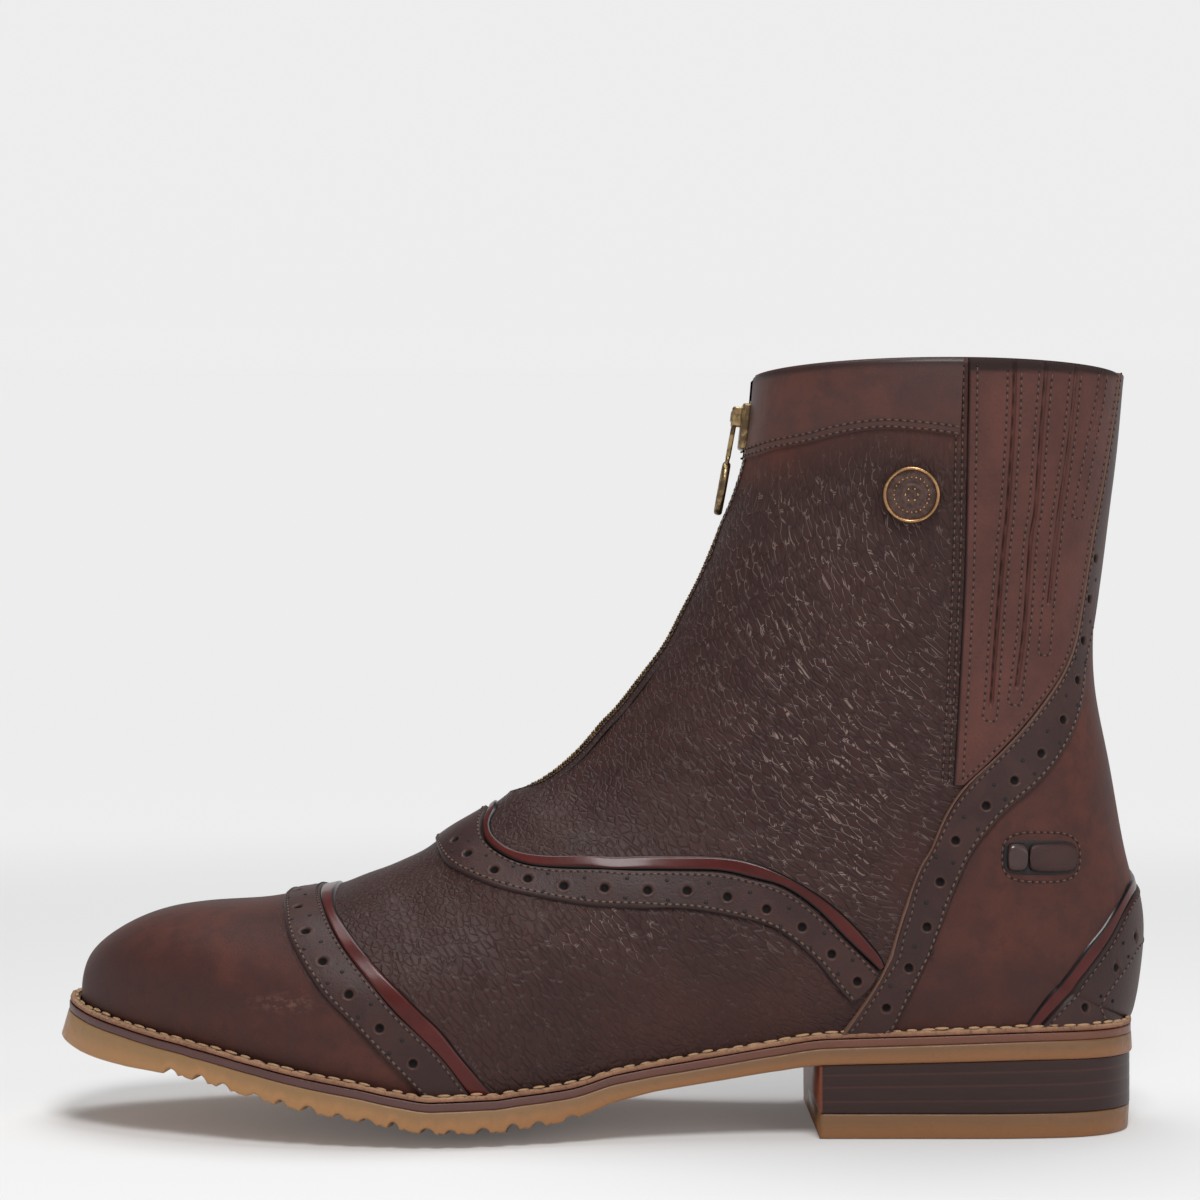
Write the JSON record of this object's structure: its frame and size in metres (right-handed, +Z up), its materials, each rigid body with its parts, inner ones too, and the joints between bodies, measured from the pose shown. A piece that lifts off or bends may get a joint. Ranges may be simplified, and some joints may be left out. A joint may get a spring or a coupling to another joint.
{
  "type": "paddock boot",
  "caption": "Ankle-high leather riding boot for the left foot, with brogued bands, elastic side panels, a front zip and a low stacked heel on a welted lugged sole.",
  "frame": {"origin": "on the floor, under the middle of the boot's outer box", "axes": "+X from toe to heel, -Y the outer side of the left foot, +Z up"},
  "size_m": [0.2701, 0.0887, 0.1876],
  "materials": {
    "vamp_leather": "waxed full-grain leather, soft sheen",
    "gum_rubber": "matt translucent gum rubber",
    "welt_leather": "tan welt leather with painted edge",
    "heel_leather": "stacked leather, dark edge dressing",
    "insole_board": "plain insole leather",
    "band_leather": "dark brown smooth leather, brogued",
    "patent_leather": "oxblood patent, high gloss",
    "gusset_leather": "soft pleated leather over elastic",
    "zip_cloth": "dark brown woven zip tape",
    "antique_brass": "antique brass, worn",
    "button_bronze": "dark bronze face, polished rim"
  },
  "bodies": {
    "boot": {"outsole": "gum_rubber", "midsole": "welt_leather", "welt": "welt_leather", "insole": "insole_board", "heel_block": "heel_leather", "top_lift": "gum_rubber", "upper": "vamp_leather", "toe_band": "band_leather", "toe_piping": "patent_leather", "wing_band": "band_leather", "wing_piping_outer": "patent_leather", "wing_piping_inner": "patent_leather", "back_band_outer": "band_leather", "back_band_inner": "band_leather", "heel_band": "band_leather", "heel_piping": "patent_leather", "gusset_outer": "gusset_leather", "gusset_inner": "gusset_leather", "collar_band_outer": "vamp_leather", "collar_band_inner": "vamp_leather", "spur_rest_outer": "vamp_leather", "spur_rest_inner": "vamp_leather", "button": "button_bronze", "zip_tape": "zip_cloth", "zip_teeth": "antique_brass", "zip_slider": "antique_brass"},
    "pull": {"zip_pull": "antique_brass"}
  },
  "joints": [
    {"name": "zip_pull_swing", "type": "hinge", "parent": "boot", "child": "pull", "pos_m": [0.03385, 0, 0.17519], "axis": [0, 1, 0], "range_deg": [0, 150]}
  ]
}
